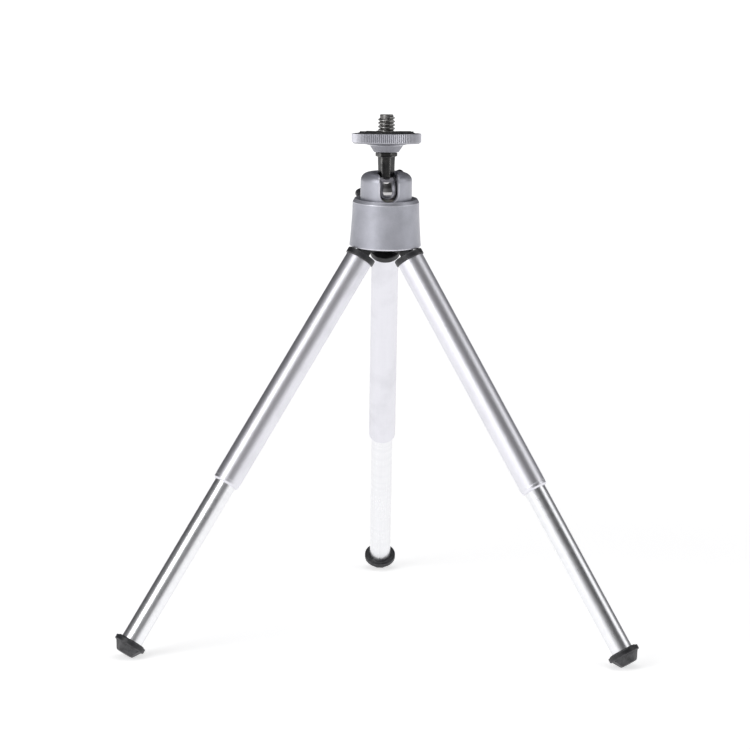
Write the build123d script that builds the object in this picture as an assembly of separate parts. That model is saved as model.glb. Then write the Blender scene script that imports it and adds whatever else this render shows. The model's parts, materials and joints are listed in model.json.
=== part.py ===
"""Small telescopic tabletop tripod with a ball head, as separate pieces.

Millimetres and degrees. The head's axis is Z, the feet stand on z = 0, and the
slot of the head faces -Y. Each leg is modelled hanging straight down from its
hinge, the base of the head from the barrel's lower rim, and the cup, ball and
platform from the ball's centre with the slot along +X. Each group is then placed.
"""
import os
from math import cos, hypot, radians, sin, sqrt

from build123d import *

# ---- Fits ----
running = 0.05              # radial clearance of a turning or sliding fit
face_clear = 0.05           # between faces that turn on each other
side_clear = 0.25           # hinge ear to its fork, on each side
ball_clear = 0.12           # socket, seat and shoe to the ball
fold_clear = 0.95           # between two feet when the legs are folded together
stop_clear = 0.25           # collar to the barrel's rim when a leg is opened to its stop

# ---- Legs ----
LEG_AZIMUTHS = {"right": -30.0, "rear": 90.0, "left": 210.0}
leg_splay = 34.3            # each leg's angle from upright when it is opened to its stop
outer_tube_r = 5.0
outer_tube_wall = 0.5
outer_tube_len = 95.5
roll_len = 1.6              # rolled-in lower end of the outer tube
roll_lip_t = 0.3            # wall left at the very end of the roll
inner_tube_wall = 0.5
tube_overlap = 29.6         # inner tube left inside the outer one with the leg pulled out
bush_wall = 0.45
bush_len = 10.0
bush_cap_t = 0.8
bush_hole_step = 1.0        # bush's cap, in from the inner tube's bore
collar_step = 0.5           # plug's collar, out from the tube
collar_t = 2.2
collar_edge = 0.25
spigot_len = 5.0
flange_step = 0.9           # foot's flange, out from the outer tube
foot_flange_t = 2.2
foot_edge = 0.3
foot_cone_step = 0.6        # cone's root, in from the flange
foot_tip_r = 3.2
foot_cone_h = 3.2
foot_spigot_len = 8.0

# ---- Hinges and hub ----
ear_t = 3.0                 # hinge ear, across the pin
ear_r = 2.2                 # hinge ear, around the pin
pin_r = 1.0
pin_end_gap = 0.3           # pin's ends to the barrel's bore
hinge_above_rim = 0.8       # hinge pin above the barrel's lower rim
lug_t = 2.5                 # fork lug, along the pin
hub_skin = 0.75             # hub outside the forks' corners
hub_recess = 0.8            # hub's underside above the rim
screw_r = 1.5
screw_head_r = 2.8
screw_head_t = 1.8
screw_sink = 0.35           # screw head's underside above the hub's
cross_w = 0.6               # arms of the screw's cross recess
washer_r = 3.1
washer_t = 0.5

# ---- Barrel ----
barrel_h = 17.5
barrel_wall = 1.9           # at the lower rim
barrel_dish = 0.17          # flank's hollow at half height
barrel_rim_round = 0.4
web_z = 8.3                 # underside of the web above the rim
web_t = 1.8
lip_w = 2.7                 # barrel's wall at the top of its flank
lip_bevel_w = 0.75          # sloped outer edge of the lip
lip_bevel_h = 1.2
lip_land_w = 0.5            # narrow flat on the lip's crest
lip_inner_drop = 0.7        # lip's inner slope, down to the recess

# ---- Cup, ball and seat ----
slot_azimuth = -82.5
ball_r = 6.0
bore_step = 0.28            # cup's bore outside the ball's socket
cup_wall = 3.0              # outside the bore
cup_round = 3.0
cup_dome = 6.8              # ball's centre to the cup's flat top
mouth_clear = 0.4           # stem's collar to the mouth, as it is put in from below
mouth_bevel = 0.5
slot_clear = 0.25           # stem's corners to the slot, on each side
cup_base_t = 2.0
seat_floor_t = 1.9
seat_wrap = 2.6             # how far the seat comes up round the ball

# ---- Clamp ----
lock_screw_r = 2.0
shoe_r = 2.5
shoe_t = 1.1                # at its middle
clamp_travel = 0.7          # one turn of the lock knob
knob_gap = 0.3              # knob to the barrel's lip, screwed right in
knob_hub_r = 3.8
knob_len = 7.2
wing_reach = 9.8
wing_t = 3.2
wing_depth = 5.4
wing_angle = 26.0           # wings' slope, down to the left as seen from the front

# ---- Stem and platform ----
stem_lean = 6.0             # stem's lean from upright, away from the slot
stem_turn = 18.9            # turns the hexagon about the stem
stem_corner = 3.0           # hexagon's corner radius where it meets the ball
stem_flare = 0.2            # how much its corners widen up to the collar
stem_reach = 14.1           # ball's centre to the collar's upper face
collar_hex_corner = 4.05
collar_hex_t = 1.5
stem_spigot_r = 2.0
stem_spigot_len = 3.6
stud_r = 3.175              # 1/4 inch camera thread
stud_neck_step = 0.4        # thread inside the platform, drawn at its pitch radius
stud_root_r = 2.0
stud_root_len = 4.0
stud_len = 6.1              # free thread above the pad
stud_tip_bevel = 0.6
disc_r = 12.7
disc_rim_t = 3.7
disc_bevel = 0.8
disc_edge = 0.35
hub_wall = 1.275            # platform's hub at its foot, outside the stud
hub_cone_step = 1.7
hub_cone_h = 2.6
flare_step = 2.6
flare_h = 0.6
pad_step = 2.4              # pad's edge, in from the disc's
pad_t = 0.8

# ---- Sizes that follow: tubes and hinges ----
outer_bore_r = outer_tube_r - outer_tube_wall
inner_tube_r = outer_bore_r - running - bush_wall
inner_bore_r = inner_tube_r - inner_tube_wall
inner_shown = outer_tube_len - tube_overlap
collar_r = outer_tube_r + collar_step
foot_flange_r = outer_tube_r + flange_step
foot_h = foot_flange_t + foot_cone_h
hinge_ring_r = (2 * foot_flange_r + fold_clear) / sqrt(3)
fork_w = ear_t + 2 * side_clear
fork_len = fork_w + 2 * lug_t
barrel_bore_r = hypot(hinge_ring_r + ear_r, fork_len / 2) + hub_skin
barrel_rim_r = barrel_bore_r + barrel_wall
pin_half = sqrt((barrel_bore_r - pin_end_gap) ** 2 - (hinge_ring_r + pin_r) ** 2)
rim_reach = barrel_rim_r - barrel_rim_round - hinge_ring_r
rim_drop = hinge_above_rim - barrel_rim_round
stop_face = rim_reach * sin(radians(leg_splay)) + rim_drop * cos(radians(leg_splay)) + barrel_rim_round
hinge_to_collar = stop_face + stop_clear
collar_end = hinge_to_collar + collar_t
outer_end = collar_end + outer_tube_len
bush_end = outer_end - roll_len - 2 * outer_tube_wall
bush_top = bush_end - bush_len
foot_top = outer_end + inner_shown
foot_end = foot_top + foot_h
hinge_z = foot_end * cos(radians(leg_splay)) + foot_tip_r * sin(radians(leg_splay))
rim_z = hinge_z - hinge_above_rim
washer_top = hub_recess + screw_sink + screw_head_t + washer_t

# ---- Sizes that follow: head and platform ----
socket_r = ball_r + ball_clear
cup_bore_r = socket_r + bore_step
cup_r = cup_bore_r + cup_wall
recess_r = cup_r + running
recess_z = web_z + web_t
barrel_top_r = recess_r + lip_w
base_t = cup_base_t + face_clear
ball_height = recess_z + base_t + seat_floor_t + socket_r
ball_z = rim_z + ball_height
cup_low = recess_z + face_clear - ball_height
base_top = cup_low + cup_base_t
mouth_r = collar_hex_corner + mouth_clear
slot_half = stem_corner + slot_clear
lock_tip = socket_r + shoe_t
knob_start = barrel_top_r + clamp_travel + knob_gap
ball_flat = sqrt(ball_r**2 - stem_corner**2)
disc_bore_r = stud_r + running
hub_low = stem_reach + face_clear
hub_top = stem_reach + hub_cone_h
hub_cone_r = stud_r + hub_wall
hub_cone_top_r = hub_cone_r + hub_cone_step
flare_r = hub_cone_top_r + flare_step
disc_low = hub_top + flare_h
disc_top = disc_low + disc_rim_t
pad_r = disc_r - pad_step
pad_top = disc_top + pad_t
round_step = 1 - sqrt(0.5)      # middle of a quarter round, as a share of its radius


def turned(*outline):
    """Solid of revolution about Z from radius and height pairs."""
    return revolve(Plane.XZ * make_face(Polyline(*outline, close=True)), Axis.Z)


def rod(radius, low, high):
    """Upright cylinder between two heights."""
    return Pos(0, 0, low) * Cylinder(radius, high - low, align=(Align.CENTER, Align.CENTER, Align.MIN))


def radial_rod(radius, near, far):
    """Cylinder along +X between two distances from the axis."""
    body = Cylinder(radius, far - near, align=(Align.CENTER, Align.CENTER, Align.MIN))
    return Pos(near, 0, 0) * Rot(0, 90, 0) * body


def cross_rod(radius, length, x, z):
    """Cylinder along Y, centred on the XZ plane."""
    return Pos(x, 0, z) * Rot(90, 0, 0) * Cylinder(radius, length)


# ---- Leg pieces, modelled hanging from the hinge ----
def leg_plug():
    """Moulded plug: hinge ear, collar and the spigot pressed into the outer tube."""
    spigot_end = collar_end + spigot_len
    body = turned(
        (0, -hinge_to_collar),
        (collar_r - collar_edge, -hinge_to_collar),
        (collar_r, -hinge_to_collar - collar_edge),
        (collar_r, -collar_end + collar_edge),
        (collar_r - collar_edge, -collar_end),
        (outer_bore_r, -collar_end),
        (outer_bore_r, -spigot_end + collar_edge),
        (outer_bore_r - collar_edge, -spigot_end),
        (0, -spigot_end),
    )
    ear = Pos(0, 0, -hinge_to_collar / 2) * Box(2 * ear_r, ear_t, hinge_to_collar)
    ear += cross_rod(ear_r, ear_t, 0, 0)
    return body + ear - cross_rod(pin_r + running, 2 * ear_t, 0, 0)


def outer_tube():
    """Drawn tube with its lower end rolled in to guide the inner tube."""
    lip_r = inner_tube_r + running
    lip_out_r = lip_r + roll_lip_t
    roll_top = -outer_end + roll_len
    roll_centre = (lip_out_r + outer_tube_r) / 2
    roll_bulge = (
        roll_centre + (outer_tube_r - lip_out_r) / 2 * sqrt(0.5),
        -outer_end + roll_len * round_step,
    )
    outline = Polyline((outer_bore_r, -collar_end), (outer_tube_r, -collar_end), (outer_tube_r, roll_top))
    outline += ThreePointArc((outer_tube_r, roll_top), roll_bulge, (lip_out_r, -outer_end))
    outline += Polyline(
        (lip_out_r, -outer_end),
        (lip_r, -outer_end),
        (lip_r, roll_top),
        (outer_bore_r, roll_top + outer_tube_wall),
        (outer_bore_r, -collar_end),
    )
    return revolve(Plane.XZ * make_face(outline), Axis.Z)


def inner_tube():
    """Thin tube that slides in the outer one."""
    top = -bush_top - bush_cap_t
    return rod(inner_tube_r, -foot_top, top) - rod(inner_bore_r, -foot_top, top)


def slide_bush():
    """Nylon sleeve with a cap, pressed over the inner tube's upper end."""
    sleeve = rod(outer_bore_r - running, -bush_end, -bush_top)
    sleeve -= rod(inner_tube_r, -bush_end, -bush_top - bush_cap_t)
    return sleeve - rod(inner_bore_r - bush_hole_step, -bush_end, -bush_top)


def foot():
    """Moulded foot: flange, blunt cone and a spigot pressed into the inner tube."""
    flange_low = -foot_top - foot_flange_t
    spigot_top = -foot_top + foot_spigot_len
    return turned(
        (0, spigot_top),
        (inner_bore_r - foot_edge, spigot_top),
        (inner_bore_r, spigot_top - foot_edge),
        (inner_bore_r, -foot_top),
        (foot_flange_r - foot_edge, -foot_top),
        (foot_flange_r, -foot_top - foot_edge),
        (foot_flange_r, flange_low + foot_edge),
        (foot_flange_r - foot_edge, flange_low),
        (foot_flange_r - foot_cone_step, flange_low),
        (foot_tip_r, -foot_end),
        (0, -foot_end),
    )


# ---- Base of the head, modelled from the barrel's lower rim ----
def hinge_pin():
    """Steel pin across one hinge, kept in by the barrel's bore."""
    return cross_rod(pin_r, 2 * pin_half, hinge_ring_r, hinge_above_rim)


def leg_hub():
    """Moulded core pressed into the barrel, with a fork for each leg."""
    hub = rod(barrel_bore_r, hub_recess, web_z)
    gap_r = ear_r + 2 * side_clear
    screw_seat = washer_top
    for azimuth in LEG_AZIMUTHS.values():
        lug = Box(2 * ear_r, fork_len, web_z - hinge_above_rim, align=(Align.CENTER, Align.CENTER, Align.MIN))
        fork = Pos(hinge_ring_r, 0, hinge_above_rim) * lug
        hub += Rot(0, 0, azimuth) * (fork + cross_rod(ear_r, fork_len, hinge_ring_r, hinge_above_rim))
    for azimuth in LEG_AZIMUTHS.values():
        gap = Box(barrel_bore_r, fork_w, 2 * gap_r, align=(Align.MIN, Align.CENTER, Align.CENTER))
        hub -= Rot(0, 0, azimuth) * Pos(hinge_ring_r - gap_r, 0, hinge_above_rim) * gap
        hub -= Rot(0, 0, azimuth) * cross_rod(pin_r, 2 * barrel_bore_r, hinge_ring_r, hinge_above_rim)
    hub -= rod(washer_r + 2 * side_clear, hub_recess, screw_seat)
    return hub - rod(screw_r + running, hub_recess, web_z)


def barrel():
    """Lower body shell: a web across the middle, hub below it, recess for the cup above."""
    flank_top = barrel_h - lip_bevel_h
    waist_r = (barrel_rim_r + barrel_top_r) / 2 - barrel_dish
    land_r = barrel_top_r - lip_bevel_w
    rim_step = barrel_rim_round * round_step
    outline = Line((barrel_bore_r, 0), (barrel_rim_r - barrel_rim_round, 0))
    outline += ThreePointArc(
        (barrel_rim_r - barrel_rim_round, 0),
        (barrel_rim_r - rim_step, rim_step),
        (barrel_rim_r, barrel_rim_round),
    )
    outline += ThreePointArc(
        (barrel_rim_r, barrel_rim_round),
        (waist_r, barrel_h / 2),
        (barrel_top_r, flank_top),
    )
    outline += ThreePointArc(
        (barrel_top_r, flank_top),
        (barrel_top_r - lip_bevel_w * round_step, barrel_h - lip_bevel_h * round_step),
        (land_r, barrel_h),
    )
    outline += Polyline(
        (land_r, barrel_h),
        (land_r - lip_land_w, barrel_h),
        (recess_r, barrel_h - lip_inner_drop),
        (recess_r, recess_z),
        (screw_r + running, recess_z),
        (screw_r + running, web_z),
        (barrel_bore_r, web_z),
        (barrel_bore_r, 0),
    )
    return revolve(Plane.XZ * make_face(outline), Axis.Z)


def swivel_washer():
    """Split spring washer that the centre screw's head presses on."""
    ring = rod(washer_r, washer_top - washer_t, washer_top)
    ring -= rod(screw_r + 2 * running, washer_top - washer_t, washer_top)
    return ring - Pos(washer_r, 0, washer_top) * Box(2 * washer_r, washer_t, 4 * washer_t)


def centre_screw():
    """Screw that holds hub, barrel and cup together, and that the cup turns on."""
    head_top = washer_top - washer_t - face_clear
    head_low = head_top - screw_head_t
    tip = ball_height + base_top - face_clear
    screw = rod(screw_head_r, head_low, head_top) + rod(screw_r, head_low, tip)
    for angle in (0, 90):
        screw -= Rot(0, 0, angle) * Pos(0, 0, head_low) * Box(screw_head_r, cross_w, screw_head_t)
    return screw


# ---- Cup and clamp, modelled from the ball's centre with the slot along +X ----
def head_cup():
    """Domed housing, slotted down the front so that the stem can lie level."""
    shoulder = cup_r - cup_round * round_step
    neck_z = sqrt(socket_r**2 - mouth_r**2)
    middle = sqrt((1 + mouth_r / socket_r) / 2)
    side = Polyline((cup_bore_r, cup_low), (cup_r, cup_low), (cup_r, cup_dome - cup_round))
    side += ThreePointArc(
        (cup_r, cup_dome - cup_round),
        (shoulder, cup_dome - cup_round * round_step),
        (cup_r - cup_round, cup_dome),
    )
    side += Polyline(
        (cup_r - cup_round, cup_dome),
        (mouth_r + mouth_bevel, cup_dome),
        (mouth_r, cup_dome - mouth_bevel),
        (mouth_r, neck_z),
    )
    side += ThreePointArc(
        (mouth_r, neck_z),
        (socket_r * middle, socket_r * sqrt(1 - middle**2)),
        (socket_r, 0),
    )
    side += Polyline((socket_r, 0), (cup_bore_r, 0), (cup_bore_r, cup_low))
    cup = revolve(Plane.XZ * make_face(side), Axis.Z)
    cup -= Box(2 * cup_r, 2 * slot_half, cup_r, align=(Align.MIN, Align.CENTER, Align.MIN))
    cup -= radial_rod(slot_half, 0, 2 * cup_r)
    pocket = lock_tip + clamp_travel + 2 * face_clear
    cup -= Rot(0, 0, 180) * radial_rod(shoe_r + running, socket_r / 2, pocket)
    return cup - Rot(0, 0, 180) * radial_rod(lock_screw_r + running, pocket, 2 * cup_r)


def cup_base():
    """Threaded plug that closes the cup from below and takes the centre screw."""
    return rod(cup_bore_r, cup_low, base_top) - rod(screw_r, cup_low, base_top)


def ball_seat():
    """Nylon seat under the ball."""
    return rod(cup_bore_r, base_top, base_top + seat_floor_t + seat_wrap) - Sphere(socket_r)


def clamp_shoe():
    """Nylon shoe between the lock screw's tip and the ball."""
    back = lock_tip - face_clear
    half_r = shoe_r / 2
    rim = (shoe_r, sqrt(socket_r**2 - shoe_r**2))
    outline = ThreePointArc((0, socket_r), (half_r, sqrt(socket_r**2 - half_r**2)), rim)
    outline += Polyline(rim, (shoe_r, back), (0, back), (0, socket_r))
    return Rot(0, -90, 0) * revolve(Plane.XZ * make_face(outline), Axis.Z)


def lock_screw():
    """Steel screw moulded into the lock knob."""
    return Rot(0, 0, 180) * radial_rod(lock_screw_r, lock_tip, knob_start + knob_len / 2)


def lock_knob():
    """Moulded wing knob: a round hub with two wings."""
    wing_end = wing_reach - wing_t / 2
    knob_end = knob_start + knob_len
    wing_start = knob_end - wing_depth
    bar = Box(wing_depth, 2 * wing_end, wing_t, align=(Align.MIN, Align.CENTER, Align.CENTER))
    wings = Pos(wing_start, 0, 0) * bar
    for side in (-wing_end, wing_end):
        wings += Pos(0, side, 0) * radial_rod(wing_t / 2, wing_start, knob_end)
    knob = radial_rod(knob_hub_r, knob_start, knob_end) + Rot(wing_angle, 0, 0) * wings
    return Rot(0, 0, 180) * (knob - radial_rod(lock_screw_r, knob_start, knob_start + knob_len / 2))


# ---- Ball, stem and platform, modelled upright from the ball's centre ----
def ball():
    """Turned ball with a flat and a bore for the stem."""
    bore = rod(stem_spigot_r + running, ball_flat - stem_spigot_len - face_clear, ball_flat)
    return Sphere(ball_r) - rod(ball_r, ball_flat, ball_r) - bore


def hexagon(corner_r, height):
    """Hexagonal outline at a height, turned as the stem is."""
    return Pos(0, 0, height) * Rot(0, 0, stem_turn) * RegularPolygon(corner_r, 6)


def ball_stem():
    """Hexagonal stem that widens to its collar, with a spigot in the ball."""
    stem_low = ball_flat + face_clear
    collar_low = stem_reach - collar_hex_t
    stem = loft([hexagon(stem_corner, stem_low), hexagon(stem_corner + stem_flare, collar_low)])
    stem += extrude(hexagon(collar_hex_corner, collar_low), collar_hex_t)
    stem += rod(stem_spigot_r, stem_low - stem_spigot_len, stem_low)
    return stem - rod(stud_root_r, stem_reach - stud_root_len, stem_reach)


def camera_screw():
    """Camera stud, at the thread's outer diameter where it stands free."""
    tip = pad_top + stud_len
    neck_r = stud_r - stud_neck_step
    return turned(
        (0, stem_reach - stud_root_len),
        (stud_root_r, stem_reach - stud_root_len),
        (stud_root_r, stem_reach),
        (neck_r, stem_reach),
        (neck_r, pad_top),
        (stud_r, pad_top),
        (stud_r, tip - stud_tip_bevel),
        (stud_r - stud_tip_bevel, tip),
        (0, tip),
    )


def platform_disc():
    """Knurled platform that turns on the stud to lock the camera."""
    return turned(
        (disc_bore_r, hub_low),
        (hub_cone_r, hub_low),
        (hub_cone_top_r, hub_top),
        (flare_r, disc_low),
        (disc_r - disc_bevel, disc_low),
        (disc_r, disc_low + disc_bevel),
        (disc_r, disc_top - disc_edge),
        (disc_r - disc_edge, disc_top),
        (disc_bore_r, disc_top),
    )


def platform_pad():
    """Rubber pad that the camera rests on."""
    return rod(pad_r, disc_top, pad_top) - rod(disc_bore_r + side_clear, disc_top, pad_top)


def write_parts():
    """Place every piece in the standing tripod and write one STEP file for each."""
    base = Pos(0, 0, rim_z)
    cup = Pos(0, 0, ball_z) * Rot(0, 0, slot_azimuth)
    stem = cup * Rot(0, -stem_lean, 0)
    parts = {
        "leg_hub": base * leg_hub(),
        "barrel": base * barrel(),
        "swivel_washer": base * swivel_washer(),
        "centre_screw": base * Rot(0, 0, slot_azimuth) * centre_screw(),
        "head_cup": cup * head_cup(),
        "cup_base": cup * cup_base(),
        "ball_seat": cup * ball_seat(),
        "clamp_shoe": cup * clamp_shoe(),
        "lock_screw": cup * lock_screw(),
        "lock_knob": cup * lock_knob(),
        "ball": stem * ball(),
        "ball_stem": stem * ball_stem(),
        "camera_screw": stem * camera_screw(),
        "platform_disc": stem * platform_disc(),
        "platform_pad": stem * platform_pad(),
    }
    for side, azimuth in LEG_AZIMUTHS.items():
        leg = Rot(0, 0, azimuth) * Pos(hinge_ring_r, 0, hinge_z) * Rot(0, -leg_splay, 0)
        parts[f"hinge_pin_{side}"] = base * Rot(0, 0, azimuth) * hinge_pin()
        parts[f"leg_plug_{side}"] = leg * leg_plug()
        parts[f"outer_tube_{side}"] = leg * outer_tube()
        parts[f"inner_tube_{side}"] = leg * inner_tube()
        parts[f"slide_bush_{side}"] = leg * slide_bush()
        parts[f"foot_{side}"] = leg * foot()
    os.makedirs("parts", exist_ok=True)
    for name, shape in parts.items():
        export_step(shape, f"parts/{name}.step")


write_parts()
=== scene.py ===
import json
from math import asin, cos, pi, radians, sin, sqrt, tan

import bmesh
import bpy
from mathutils import Matrix, Vector

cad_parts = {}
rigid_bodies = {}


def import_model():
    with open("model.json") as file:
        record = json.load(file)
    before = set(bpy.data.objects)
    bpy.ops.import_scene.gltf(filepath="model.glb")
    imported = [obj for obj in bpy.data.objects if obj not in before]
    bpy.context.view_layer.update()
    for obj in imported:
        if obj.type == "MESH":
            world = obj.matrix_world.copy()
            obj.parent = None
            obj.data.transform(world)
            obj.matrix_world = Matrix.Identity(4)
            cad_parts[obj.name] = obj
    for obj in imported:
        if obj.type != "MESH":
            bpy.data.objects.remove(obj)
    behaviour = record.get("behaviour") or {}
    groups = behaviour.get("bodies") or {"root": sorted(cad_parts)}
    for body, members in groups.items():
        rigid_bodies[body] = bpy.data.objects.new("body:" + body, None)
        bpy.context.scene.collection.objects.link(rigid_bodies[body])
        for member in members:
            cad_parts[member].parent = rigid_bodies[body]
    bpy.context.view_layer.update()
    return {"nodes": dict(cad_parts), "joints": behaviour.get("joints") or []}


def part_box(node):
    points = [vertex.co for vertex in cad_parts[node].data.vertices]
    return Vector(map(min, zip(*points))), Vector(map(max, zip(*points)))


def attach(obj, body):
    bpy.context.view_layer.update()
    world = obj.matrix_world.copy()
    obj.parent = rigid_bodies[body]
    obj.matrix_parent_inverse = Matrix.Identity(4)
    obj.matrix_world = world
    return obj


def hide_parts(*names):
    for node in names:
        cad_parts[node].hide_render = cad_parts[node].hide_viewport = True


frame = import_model()


# ---------------------------------------------------------------------------
# Barrel: turned shell pressed over the leg hub and sprayed with satin silver
# paint. Its lip is bevelled outside and slopes in to the recess that the cup
# turns in. It stands on the head's axis, which is the frame's Z axis.
MM = 0.001
barrel_low, barrel_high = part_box("barrel")
barrel_h = (barrel_high.z - barrel_low.z) / MM
barrel_rim_r = (barrel_high.x - barrel_low.x) / 2 / MM
barrel_top_r = 12.15
barrel_bore_r = 11.21
barrel_dish = 0.17
rim_lip_h = 1.2
rim_lip_r, rim_lip_inner_r = 11.5, 10.85
rim_lip_slope = 0.75
recess_r = 9.45
recess_floor = 10.1
web_low = 8.3
screw_hole_r = 1.55
PAINT_LIGHT = (0.5, 0.505, 0.56, 1.0)
PAINT_DARK = (0.33, 0.335, 0.375, 1.0)


class Wire:
    """An output socket in a finish's node tree. Arithmetic on it adds Math nodes."""

    def __init__(self, tree, socket=None):
        self.tree = tree
        self.socket = socket

    def node(self, kind, sockets=None, out=0, stops=None, **settings):
        """Adds a node: its settings, a ramp's stops with both ends first, then its values or links."""
        made = self.tree.nodes.new("ShaderNode" + kind)
        for name, value in settings.items():
            setattr(made, name, value)
        for place, (position, colour) in enumerate(stops or []):
            ramp = made.color_ramp.elements
            stop = ramp[place] if place < 2 else ramp.new(position)
            stop.position, stop.color = position, colour
        for key, value in (sockets or {}).items():
            if isinstance(value, Wire):
                self.tree.links.new(value.socket, made.inputs[key])
            else:
                made.inputs[key].default_value = value
        return Wire(self.tree, made.outputs[out])

    def maths(self, operation, first, second):
        return self.node("Math", {0: first, 1: second}, operation=operation)

    def __add__(self, other):
        return self.maths("ADD", self, other)

    def __sub__(self, other):
        return self.maths("SUBTRACT", self, other)

    def __rsub__(self, other):
        return self.maths("SUBTRACT", other, self)

    def __mul__(self, other):
        return self.maths("MULTIPLY", self, other)

    __radd__ = __add__
    __rmul__ = __mul__


def new_finish(name, **constants):
    """A material with its constant shader sockets set. Returns it, its shader and a wire to build on."""
    material = bpy.data.materials.new(name)
    material.use_nodes = True
    shader = material.node_tree.nodes["Principled BSDF"]
    for key, value in constants.items():
        shader.inputs[key.replace("_", " ")].default_value = value
    return material, shader, Wire(material.node_tree)


def feed(shader, **wires):
    """Links what varies over the surface to the shader."""
    for key, wire in wires.items():
        wire.tree.links.new(wire.socket, shader.inputs[key.replace("_", " ")])


def place_in(wire, bare):
    """Place on the piece in mm: its own frame on a made piece, the object's on a bare frame node."""
    if not bare:
        return wire.node("Attribute", out=1, attribute_name="own")
    spot = wire.node("TexCoord", out=3)
    return wire.node("VectorMath", {0: spot, "Scale": 1 / MM}, operation="SCALE")


def speckle(wire, spot, scale, detail=2.0, stretch=(1.0, 1.0, 1.0)):
    """Noise from 0 to 1 whose grain is 1/scale mm, drawn out where stretch is small."""
    drawn = wire.node("Mapping", {"Vector": spot, "Scale": stretch})
    return wire.node("TexNoise", {"Vector": drawn, "Scale": scale, "Detail": detail}, out=0)


def edge_mark(wire):
    """1 on a piece's rounded edges, fading to 0 on its faces."""
    return wire.node("Attribute", out=2, attribute_name="edge")


def ramped(wire, value, low, high):
    """value spread so that low becomes 0 and high becomes 1."""
    return wire.node("MapRange", {"Value": value, "From Min": low, "From Max": high})


def blended(wire, share, first, second):
    """Colour between two colours or colour wires."""
    return wire.node("Mix", {"Factor": share, 6: first, 7: second}, out=2, data_type="RGBA")


def bumped(wire, height, depth):
    """Surface normal for a height field whose full swing is depth millimetres."""
    return wire.node("Bump", {"Height": height, "Distance": depth * MM, "Strength": 1.0})


def silver_paint(name, shade_within):
    """Satin silver spray: fine flake, faint cloud, edges lightened partly by rubbed wear and partly as a
    painted highlight, and near-black painted shade close to the piece's origin.
    """
    material, shader, wire = new_finish(name, Metallic=0.72, Coat_Weight=0.18, Coat_Roughness=0.28)
    spot = place_in(wire, False)
    flake = speckle(wire, spot, 9.0, 1.0)
    cloud = speckle(wire, spot, 0.16, 3.0)
    peel = speckle(wire, spot, 2.6, 2.0)
    edge = edge_mark(wire)
    rubbed = edge * ramped(wire, peel + cloud, 0.75, 1.35)
    tone = blended(wire, ramped(wire, flake * 0.6 + cloud * 0.4, 0.32, 0.68), PAINT_DARK, PAINT_LIGHT)
    # Edges lightened: rubbed wear where the noise reaches, plus a painted highlight on every rounded edge.
    tone = blended(wire, rubbed * 0.45 + edge * 0.45, tone, (0.84, 0.84, 0.9, 1.0))
    # Painted shade: near-black colour close to the piece's origin; on the cup this darkens the socket and
    # bore round the ball.
    reach = wire.node("VectorMath", {0: spot}, out=1, operation="LENGTH")
    origin_shade = ramped(wire, reach, shade_within, shade_within - 0.2)
    tone = blended(wire, origin_shade, tone, (0.05, 0.05, 0.052, 1.0))
    grain = wire.node("TexVoronoi", {"Vector": spot, "Scale": 11.0}, out=0)
    feed(
        shader,
        Base_Color=tone,
        Roughness=0.37 + flake * 0.12 - rubbed * 0.1,
        Normal=bumped(wire, peel * 0.6 + grain * 0.25, 0.012),
    )
    return material


def rounded(corners, steps=4):
    """Corners (radius, height, rounding) as outline points (radius, height, edge); edge marks the arcs."""
    outline = []
    for place, (r, z, rounding) in enumerate(corners):
        here = Vector((r, z))
        if rounding == 0:
            outline.append((r, z, 0.0))
            continue
        back = (Vector(corners[place - 1][:2]) - here).normalized()
        ahead = (Vector(corners[(place + 1) % len(corners)][:2]) - here).normalized()
        half = back.angle(ahead) / 2
        centre = here + (back + ahead).normalized() * rounding / sin(half)
        cut = rounding / tan(half)
        start, end = here + back * cut - centre, here + ahead * cut - centre
        sweep = pi - 2 * half
        outline.append((*(here + back * cut * 1.35), 0.0))
        for step in range(steps + 1):
            share = step / steps
            arm = (start * sin((1 - share) * sweep) + end * sin(share * sweep)) / sin(sweep)
            outline.append((*(centre + arm), 1.0))
        outline.append((*(here + ahead * cut * 1.35), 0.0))
    return outline


def turned(outline, sides=96):
    """A closed outline spun about Z as a solid in mm, with each point's edge mark kept."""
    shape = bmesh.new()
    edge = shape.verts.layers.float.new("edge")
    rings = []
    for r, z, mark in outline:
        ring = []
        for k in range(1 if r < 1e-4 else sides):
            turn = 2 * pi * k / sides
            ring.append(shape.verts.new((r * cos(turn), r * sin(turn), z)))
            ring[-1][edge] = mark
        rings.append(ring)
    for ring, after in zip(rings, rings[1:] + rings[:1]):
        for k in range(sides):
            near = [ring[k % len(ring)], ring[(k + 1) % len(ring)]]
            far = [after[(k + 1) % len(after)], after[k % len(after)]]
            corners = list(dict.fromkeys(near + far))
            if len(corners) > 2:
                shape.faces.new(corners)
    return shape


def made_piece(name, shape, place, finish, crease=38.0):
    """A solid in mm, set in place in metres as an object with one finish and its own coordinates."""
    bmesh.ops.remove_doubles(shape, verts=shape.verts, dist=1e-4)
    bmesh.ops.recalc_face_normals(shape, faces=shape.faces)
    own = shape.verts.layers.float_vector.new("own")
    for vert in shape.verts:
        vert[own] = vert.co
    shape.transform(Matrix.Scale(MM, 4) @ place)
    mesh = bpy.data.meshes.new(name)
    shape.to_mesh(mesh)
    shape.free()
    mesh.polygons.foreach_set("use_smooth", [True] * len(mesh.polygons))
    mesh.set_sharp_from_angle(angle=radians(crease))
    mesh.materials.append(finish)
    piece = bpy.data.objects.new(name, mesh)
    bpy.context.scene.collection.objects.link(piece)
    return piece


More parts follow.
